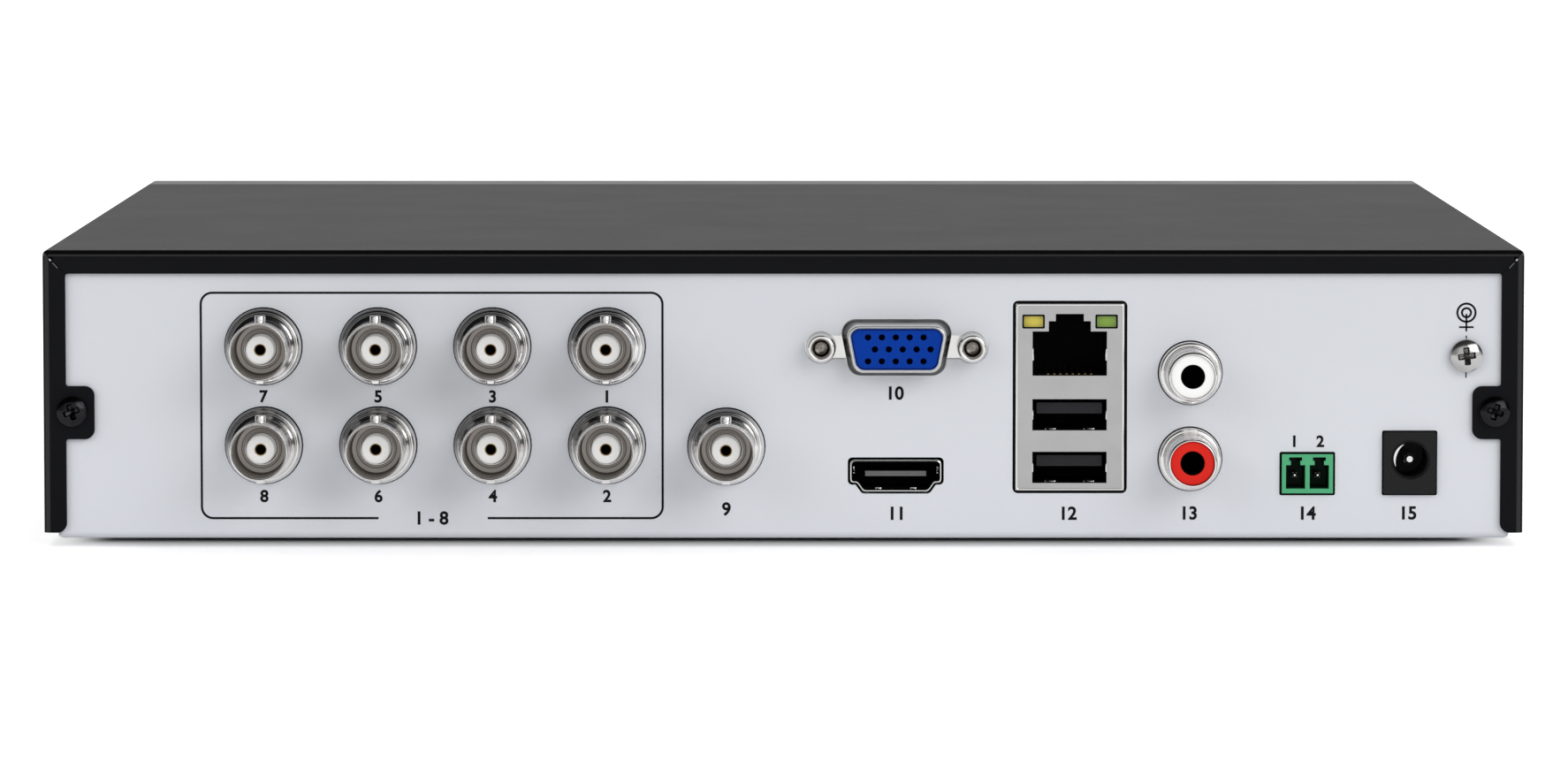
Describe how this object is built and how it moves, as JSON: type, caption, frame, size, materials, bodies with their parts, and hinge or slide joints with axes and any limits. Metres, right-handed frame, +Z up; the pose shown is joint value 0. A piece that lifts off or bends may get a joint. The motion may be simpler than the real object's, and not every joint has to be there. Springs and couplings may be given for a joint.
{
  "type": "dvr recorder",
  "caption": "Video recorder in a flat steel case with a sliding cover, a row of camera sockets and other connectors in its rear panel, a hard drive and a fan.",
  "frame": {"origin": "middle of the outline, on the surface that the feet stand on", "axes": "+X to the right as seen from the connectors, +Y from the connectors towards the bezel, +Z up"},
  "size_m": [0.245, 0.2272, 0.0495],
  "materials": {
    "panel_paint": "satin light grey paint on sheet steel",
    "cover_paint": "dark grey fine textured powder coat",
    "bezel_plastic": "fine textured black",
    "smoked_plastic": "glossy, dark red",
    "clear_plastic": "clear",
    "board_green": "glass fibre board with solder resist",
    "board_blue": "glass fibre board with solder resist",
    "foot_rubber": "matt black",
    "black_steel": "blackened steel",
    "plated_steel": "zinc plated",
    "brass": "turned",
    "gold_contact": "gold plated",
    "nickel": "bright nickel plate",
    "tinned_steel": "tinned sheet steel",
    "black_plastic": "moulded black",
    "grey_plastic": "moulded dark grey",
    "white_plastic": "moulded white",
    "red_plastic": "moulded red",
    "blue_plastic": "moulded blue",
    "green_plastic": "moulded green",
    "yellow_lamp": "translucent",
    "green_lamp": "translucent",
    "black_aluminium": "black anodised",
    "can_aluminium": "printed sleeve",
    "cast_aluminium": "as cast",
    "lid_steel": "brushed",
    "disk_mirror": "polished",
    "red_lead": "sleeved wire",
    "black_lead": "sleeved wire"
  },
  "bodies": {
    "chassis": {"chassis_pan": "panel_paint", "front_bezel": "bezel_plastic", "front_window": "smoked_plastic", "light_pipes": "clear_plastic", "front_led_board": "board_green", "rubber_feet": "foot_rubber", "ground_screw": "plated_steel", "board_standoffs": "brass", "board_screws": "plated_steel", "main_board": "board_green", "board_chips": "black_plastic", "heat_sink": "black_aluminium", "capacitors": "can_aluminium", "battery_holder": "black_plastic", "coin_cell": "lid_steel", "sata_headers": "black_plastic", "bnc_shell_1": "nickel", "bnc_shell_2": "nickel", "bnc_shell_3": "nickel", "bnc_shell_4": "nickel", "bnc_shell_5": "nickel", "bnc_shell_6": "nickel", "bnc_shell_7": "nickel", "bnc_shell_8": "nickel", "bnc_shell_audio": "nickel", "bnc_blocks": "black_plastic", "bnc_insulators": "white_plastic", "bnc_contacts": "gold_contact", "vga_riser": "black_plastic", "vga_shell": "nickel", "vga_insulator": "blue_plastic", "vga_jackposts": "nickel", "hdmi_shell": "tinned_steel", "hdmi_tongue": "grey_plastic", "lan_usb_shield": "tinned_steel", "lan_insert": "black_plastic", "usb_tongues": "grey_plastic", "lan_led_yellow": "yellow_lamp", "lan_led_green": "green_lamp", "rca_block": "black_plastic", "rca_shells": "nickel", "rca_insulator_white": "white_plastic", "rca_insulator_red": "red_plastic", "rs485_header": "green_plastic", "rs485_pins": "plated_steel", "dc_jack_body": "black_plastic", "dc_jack_pin": "nickel", "hdd_base": "cast_aluminium", "hdd_cover": "lid_steel", "hdd_board": "board_blue", "drive_screws": "plated_steel", "fan_frame": "black_plastic", "fan_screws": "plated_steel", "drive_cable": "red_lead", "inner_leads": "black_lead"},
    "cover": {"top_cover": "cover_paint", "cover_screws": "black_steel"},
    "fan_wheel": {"fan_rotor": "black_plastic"},
    "disks": {"disk_pack": "disk_mirror"},
    "arm": {"head_arm": "cast_aluminium"}
  },
  "joints": [
    {"name": "cover_slide", "type": "slide", "parent": "chassis", "child": "cover", "axis": [0, -1, 0], "range_m": [0, 0.21]},
    {"name": "fan_spin", "type": "hinge", "parent": "chassis", "child": "fan_wheel", "pos_m": [0.1143, 0.0486, 0.0245], "axis": [1, 0, 0], "continuous": true},
    {"name": "disk_spin", "type": "hinge", "parent": "chassis", "child": "disks", "pos_m": [-0.061, 0.0439, 0.018], "axis": [0, 0, 1], "continuous": true},
    {"name": "arm_swing", "type": "hinge", "parent": "chassis", "child": "arm", "pos_m": [-0.007, 0.0189, 0.018], "axis": [0, 0, 1], "range_deg": [0, 33]}
  ]
}
